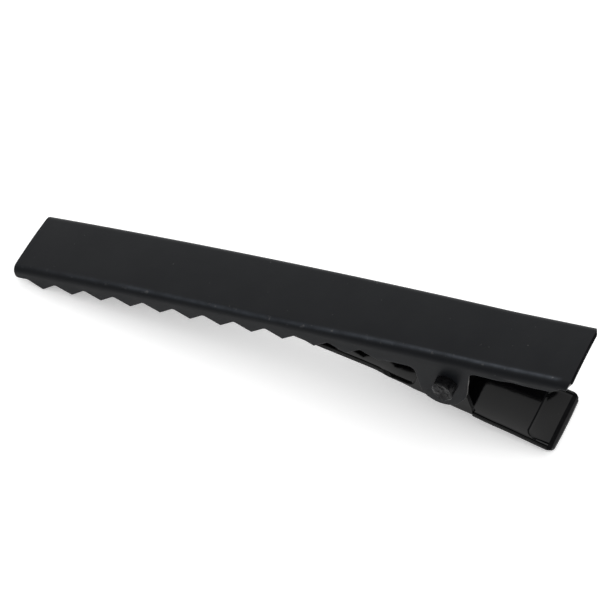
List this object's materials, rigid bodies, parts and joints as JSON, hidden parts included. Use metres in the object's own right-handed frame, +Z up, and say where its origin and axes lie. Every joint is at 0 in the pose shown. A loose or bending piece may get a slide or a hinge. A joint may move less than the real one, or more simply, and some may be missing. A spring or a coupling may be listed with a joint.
{
  "type": "alligator hair clip",
  "caption": "Folded sheet-metal alligator hair clip: long flat top jaw with saw-toothed sides, riveted to a slim sprung lever that opens when its handle is squeezed.",
  "frame": {"origin": "centre of the overall box in X and Y, at the level the clip rests on", "axes": "+X along the clip from the toothed nose to the handles, +Y across it along the hinge pin, +Z up"},
  "size_m": [0.0628, 0.0106, 0.0126],
  "materials": {
    "matt_black_paint": "matt black powder-like paint on pressed steel, slightly blue-grey, worn thin on the folds",
    "gloss_black_paint": "glossy black lacquer on pressed steel",
    "pin_black": "black lacquered steel wire with roughly sheared, sparkling ends",
    "spring_black": "blackened spring steel, satin"
  },
  "bodies": {
    "lever": {"lower_lever": "gloss_black_paint", "spring": "spring_black"},
    "jaw": {"upper_jaw": "matt_black_paint", "hinge_pin": "pin_black"}
  },
  "joints": [
    {"name": "jaw_hinge", "type": "hinge", "parent": "lever", "child": "jaw", "pos_m": [0.0182, 0, 0.00666], "axis": [0, 1, 0], "range_deg": [0, 50], "stiffness_Nm_per_rad": 0.02, "springref_deg": -11.46, "deforming": ["spring"]}
  ]
}
